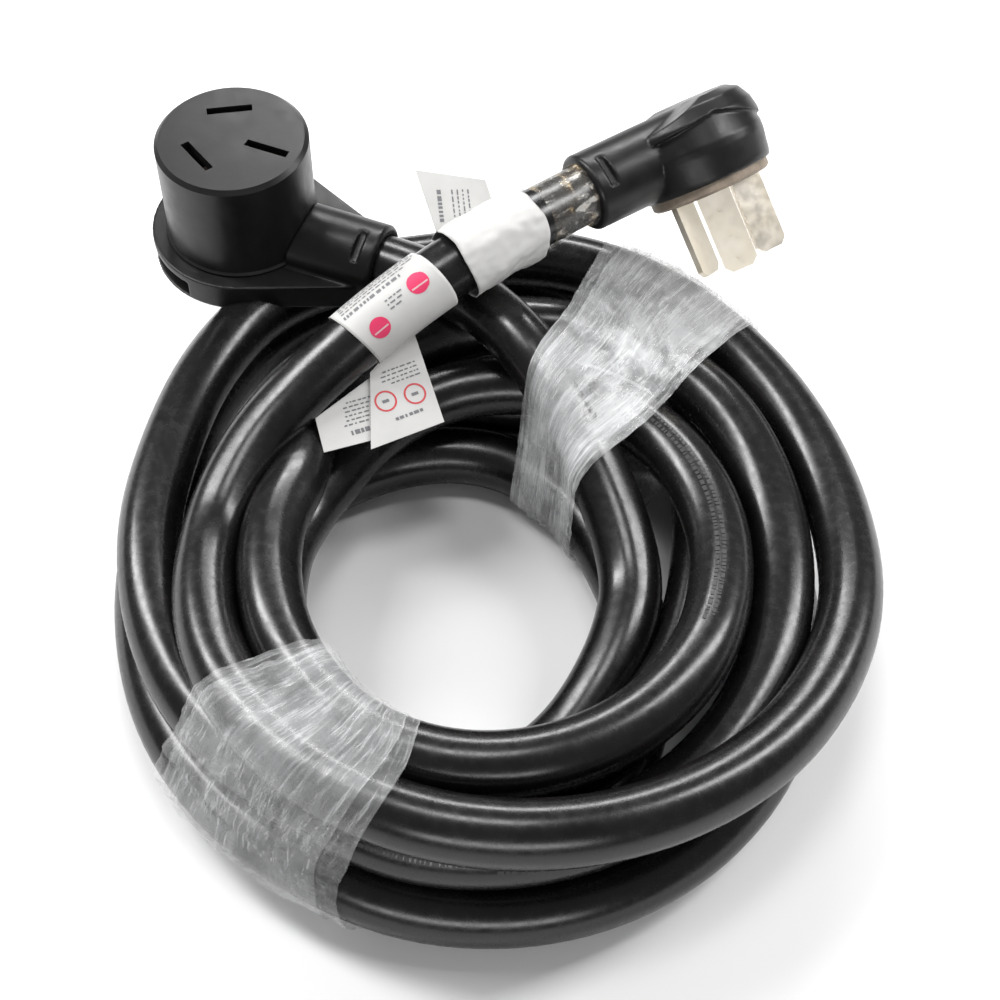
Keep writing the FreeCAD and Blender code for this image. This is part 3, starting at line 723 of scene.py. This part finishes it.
def text_lines(name, cu, cv, wide, lines, pitch, seed, bold, place, material):
    """Rows of short grey strokes, as unreadable small print."""
    rng = random.Random(seed)
    parts = []
    for row in range(lines):
        u = cu
        v = cv - row * pitch
        stop = cu + wide * rng.uniform(0.72, 1.0)
        while u < stop:
            run = rng.uniform(STROKE_SHORT, STROKE_LONG)
            stroke = bar(u + run / 2, v, run, STROKE_HIGH * bold)
            parts.append(mark(f"{name}_{row}", stroke, place, material))
            u += run + rng.uniform(*STROKE_GAP)
    return parts


def paper_face(node):
    """Centre and normal of a flat paper's top, from the CAD piece."""
    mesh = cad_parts[node].data
    face = max(mesh.polygons, key=lambda p: (round(p.area, 8), p.normal.z))
    normal = face.normal if face.normal.z > 0 else -face.normal
    corners = [mesh.vertices[i].co for i in face.vertices]
    top = max(v.co.dot(normal) for v in mesh.vertices)
    centre = sum(corners, Vector()) / len(corners)
    centre += normal * (top - centre.dot(normal))
    return centre, normal


def on_paper(node, reading):
    """place(u, v) on a flat paper; reading is the way its print runs, seen from above."""
    centre, normal = paper_face(node)
    along = (Vector(reading) - normal * normal.dot(Vector(reading))).normalized()
    up = normal.cross(along)
    return lambda u, v: centre + along * u + up * v + normal * FLAT_LIFT


def text_rows(rows, place, material):
    """Several blocks of strokes on one paper."""
    parts = []
    for row in rows:
        parts += text_lines(*row, place, material)
    return parts


def label_prints(line, grey, red, rose, pale):
    """Generic print on each paper: plain dots, rings and rows of short strokes."""
    wrap_at = Along(line, Vector(WRAP_SPOT))

    def on_wrap(u, v):
        return wrap_at.place(u + WRAP_SHIFT, v / WRAP_R, WRAP_R + PRINT_LIFT)

    def on_wrap_bar(u, v):
        return wrap_at.place(u + WRAP_SHIFT, v / WRAP_R, WRAP_R + BAR_LIFT)
    wrap = [mark("wrap_dot", disc(u, v, DOT_R), on_wrap, rose, 3) for u, v in WRAP_DOTS]
    wrap += text_rows(WRAP_LINES, on_wrap, grey)
    wrap += [mark("wrap_bar", bar(u, v, BAR_LONG, BAR_HIGH), on_wrap_bar, pale) for u, v in WRAP_BARS]
    wrap += text_rows(WRAP_SMALL, on_wrap, grey)

    on_flag_1 = on_paper("label_flag_1", FLAG_1_WAY)
    flag_1 = []
    for u, v in FLAG_RINGS:
        flag_1 += ring_marks("flag_ring", u, v, RING_R, RING_THICK, on_flag_1, red)
        flag_1.append(mark("flag_sign", bar(u, v, SIGN_LONG, SIGN_HIGH), on_flag_1, grey))
    flag_1 += text_rows(FLAG_1_TEXT, on_flag_1, grey)
    flag_2 = text_rows(FLAG_2_TEXT, on_paper("label_flag_2", FLAG_2_WAY), grey)
    tag = text_rows(TAG_TEXT, on_paper("label_tag", TAG_WAY), grey)
    return [joined("label_wrap_print", wrap), joined("label_flag_1_print", flag_1),
            joined("label_flag_2_print", flag_2), joined("label_tag_print", tag)]


def jacket_print(line, ink):
    """Rows of short raised strokes on two stretches of the jacket."""
    parts = []
    for near, angle, long, seed in JACKET_STRETCHES:
        at = Along(line, Vector(near))

        def on_jacket(u, v):
            return at.place(u, angle + v / CORD_R, CORD_R + JACKET_PRINT_LIFT)
        parts += text_lines("jacket_print", -long / 2, 0.0012, long, 2, 0.0024, seed, 2.6, on_jacket, ink)
    return joined("jacket_print", parts)


def wrapped_label(line, material, slant=0.002, curl=0.0006):
    """Paper label round the cord, open at its back, with slanted ends."""
    at = Along(line, Vector(WRAP_SPOT))

    def place(u, v):
        a = WRAP_LONG * (u - 0.5) + WRAP_SHIFT + slant * math.sin((v - 0.5) * 2 * math.pi)
        return at.place(a, (v - 0.5) * 1.94 * math.pi, WRAP_R + curl * abs(2 * v - 1) ** 8)
    obj = grid_mesh("label_wrap_paper", 30, 96, place)
    thick = obj.modifiers.new("paper", "SOLIDIFY")
    thick.thickness = PAPER_THICK
    thick.offset = -1
    obj = made_plain(obj)
    obj.data.materials.append(material)
    return obj


def loose_sleeve(line, material):
    """Wide paper sleeve, slightly creased, with uneven ends."""
    at = Along(line, Vector(SLEEVE_SPOT))

    def place(u, v):
        a = 2 * math.pi * v
        lay = Vector((u * 3, math.cos(a) * 1.6, math.sin(a) * 1.6))
        r = SLEEVE_R + 0.0009 * noise.noise(lay) + 0.0004 * noise.noise(lay * 3.1)
        ends = 0.0012 * noise.noise(Vector((math.cos(a) * 2, math.sin(a) * 2, round(u))))
        return at.place(SLEEVE_LONG * (u - 0.5) - 0.003 + ends, a, r)
    obj = grid_mesh("label_sleeve_paper", 40, 120, place, closed=True)
    thick = obj.modifiers.new("paper", "SOLIDIFY")
    thick.thickness = SLEEVE_THICK
    thick.offset = -1
    obj = made_plain(obj)
    obj.data.materials.append(material)
    return obj


def crinkled_tape(line, material):
    """Clear tape round the cord between the sleeve and the plug."""
    at = Along(line, PLUG_NECK_END)

    def place(u, v):
        a = 2 * math.pi * v
        lay = Vector((u * 4, math.cos(a) * 3, math.sin(a) * 3))
        r = CORD_R + 0.0007 + 0.0007 * abs(noise.noise(lay)) + 0.0004 * abs(noise.noise(lay * 2.7))
        return at.place(TAPE_START + TAPE_LONG * u, a, r)
    obj = grid_mesh("clear_tape_wrap", 60, 160, place, closed=True, spread=(TAPE_LONG, TAPE_ROUND))
    obj.data.materials.append(material)
    return obj


def cut_slot(obj, place, way, long, wide, deep):
    """Cut a deep narrow slot across a neck, down from a place on top of it, its walls painted near-black
    as shade.
    """
    side = way.cross(Vector((0, 0, 1))).normalized()
    up = side.cross(way)
    bm = bmesh.new()
    bmesh.ops.create_cube(bm, size=1)
    for vert in bm.verts:
        x, y, z = vert.co
        vert.co = place + way * (x * wide) + side * (y * long) + up * (z * 2 * deep)
    mesh = bpy.data.meshes.new("slot_cutter")
    bm.to_mesh(mesh)
    bm.free()
    # near-black finish on the slot's cut faces: painted shade for the deep recess
    mesh.materials.append(plain_finish("slot_painted_shade", rgb(0.002, 0.002, 0.002), 0.8))
    cutter = link("slot_cutter", mesh)
    cut = obj.modifiers.new("slot", "BOOLEAN")
    cut.operation = "DIFFERENCE"
    cut.solver = "EXACT"
    cut.material_mode = "TRANSFER"
    cut.object = cutter
    obj = made_plain(obj)
    bpy.data.objects.remove(cutter)
    return obj


METALS = {"blade": ("nickel_blade", rgb(0.76, 0.69, 0.57), rgb(0.87, 0.81, 0.71), 0.30, 0.40),
          "copper": ("copper_strands", rgb(0.60, 0.26, 0.14), rgb(0.85, 0.42, 0.26), 0.3, 0.45),
          "brass": ("contact_brass", rgb(0.55, 0.40, 0.16), rgb(0.80, 0.62, 0.30), 0.25, 0.4)}
CORE_SHADES = {"neutral": rgb(0.8, 0.8, 0.78),
               "line_1": rgb(0.02, 0.02, 0.02),
               "line_2": rgb(0.5, 0.03, 0.03)}
finishes_made = {}


def node_finish(node, moulding, paper):
    """Material of a CAD piece; each kind is made once."""
    if node.startswith("label"):
        return paper
    if node in ("plug_blade_carrier", "connector_carrier"):
        kind = "carrier"
    elif node.startswith("plug_blade"):
        kind = "blade"
    elif "strands" in node:
        kind = "copper"
    elif "crimp" in node or "contact" in node:
        kind = "brass"
    elif "core" in node:
        kind = node[node.index("core_"):]
    elif node == "clear_tape":
        kind = "tape"
    else:
        return moulding
    if kind not in finishes_made:
        if kind in METALS:
            finishes_made[kind] = metal_finish(*METALS[kind])
        elif kind == "carrier":
            finishes_made[kind] = carrier_finish()
        elif kind == "tape":
            finishes_made[kind] = tape_finish()
        else:
            finishes_made[kind] = plain_finish(kind, CORE_SHADES[kind[len("core_"):]], 0.4)
    return finishes_made[kind]


# ---------------------------------------------------------------- the whole part
def build():
    """Make the visible pieces, hide the CAD pieces they stand for and attach them to the root body."""
    jacket = jacket_finish()
    moulding = moulding_finish()
    paper = paper_finish()
    grey = plain_finish("ink_grey", rgb(0.16, 0.16, 0.17), 0.6)
    red = plain_finish("ink_red", rgb(0.55, 0.05, 0.06), 0.5)
    rose = plain_finish("ink_rose", rgb(0.68, 0.035, 0.12), 0.5)
    pale = plain_finish("ink_pale", rgb(0.66, 0.42, 0.44), 0.5)

    cord = make_cord()
    cord.data.materials.append(jacket)
    line = line_of(cord)
    length = sum((b - a).length for a, b in zip(line[:-1], line[1:]))

    poles = ("neutral", "line_1", "line_2")
    plug = softened("plug_overmould", "plug_body", [f"plug_core_{pole}" for pole in poles])
    plug.data.materials.append(moulding)
    back = softened("connector_back", "connector_body", [])
    back.data.materials.append(moulding)
    window_spot = CONNECTOR_NECK_END - CONNECTOR_WAY * WINDOW_BACK + Vector((0, 0, NECK_R))
    back = cut_slot(back, window_spot, CONNECTOR_WAY, WINDOW_LONG, WINDOW_WIDE, WINDOW_DEEP)

    near = make_film("film_band_near", line, NEAR_OUTSIDE, NEAR_INSIDE, 1)
    near.data.materials.append(film_finish("stretch_film_near", 0.10))
    far = make_film("film_band_far", line, FAR_OUTSIDE, FAR_INSIDE, 2)
    far.data.materials.append(film_finish("stretch_film_far", 0.26))

    for node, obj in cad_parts.items():
        obj.data.materials.clear()
        obj.data.materials.append(node_finish(node, moulding, paper))

    wrap = wrapped_label(line, paper)
    sleeve = loose_sleeve(line, paper)
    tape = crinkled_tape(line, tape_finish())
    prints = label_prints(line, grey, red, rose, pale)
    raised_ink = plain_finish("jacket_print_black", rgb(0.030, 0.030, 0.030), 0.45)
    raised = jacket_print(line, raised_ink)

    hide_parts("cord_coil", "cord_connector_lead", "cord_plug_lead")
    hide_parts("plug_overmould")
    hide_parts("connector_back")
    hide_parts("film_near")
    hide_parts("film_far")
    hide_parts("label_wrap")
    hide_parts("label_sleeve")
    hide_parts("clear_tape")
    slots = [(cord, "cord_jacket"), (plug, "moulding"), (back, "moulding"), (near, "clear_film"),
             (far, "clear_film"), (tape, "clear_film"), (wrap, "label_paper"), (sleeve, "label_paper")]
    slots += [(obj, "label_paper") for obj in prints] + [(raised, "cord_jacket")]
    for obj, slot in slots:
        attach(obj, "root")


build()

# ---------------------------------------------------------------- stage, light and camera
floor_mesh = bpy.data.meshes.new("floor")
floor_mesh.from_pydata([(-3, -3, 0), (3, -3, 0), (3, 3, 0), (-3, 3, 0)], [], [(0, 1, 2, 3)])
floor = link("floor", floor_mesh)
floor_finish = Finish("pale_floor").set(Base_Color=rgb(0.86, 0.86, 0.86), Roughness=0.8)
floor.data.materials.append(floor_finish.material)


def softbox(name, place, wide, high, radiance, aim=(0, 0, 0.04)):
    """A soft rectangular lamp turned to the part."""
    light = bpy.data.lights.new(name, "AREA")
    light.shape = "RECTANGLE"
    light.size, light.size_y = wide, high
    light.energy = radiance * math.pi * wide * high
    obj = link(name, light)
    obj.location = place
    obj.rotation_euler = (Vector(aim) - Vector(place)).to_track_quat("-Z", "Y").to_euler()


softbox("softbox_left", (-0.62, 0.30, 0.75), 0.16, 0.70, 26)
softbox("softbox_right", (0.70, 0.22, 0.70), 0.16, 0.70, 20)
softbox("softbox_back", (0.05, 0.80, 0.62), 0.60, 0.12, 24)
softbox("softbox_top", (0.0, 0.05, 1.15), 0.34, 0.20, 15)
softbox("softbox_front", (0.0, -0.95, 0.42), 0.80, 0.20, 7)

world = bpy.data.worlds.new("studio")
world.use_nodes = True
world.node_tree.nodes["Background"].inputs["Color"].default_value = rgb(1, 1, 1)
world.node_tree.nodes["Background"].inputs["Strength"].default_value = 0.20
bpy.context.scene.world = world
bpy.context.scene.view_settings.view_transform = "Standard"

camera = link("camera", bpy.data.cameras.new("camera"))
camera.data.lens = LENS
camera.data.sensor_width = SENSOR
camera.location = CAMERA_PLACE
camera.rotation_euler = (math.radians(90 - CAMERA_DOWN), 0, 0)
bpy.context.scene.camera = camera
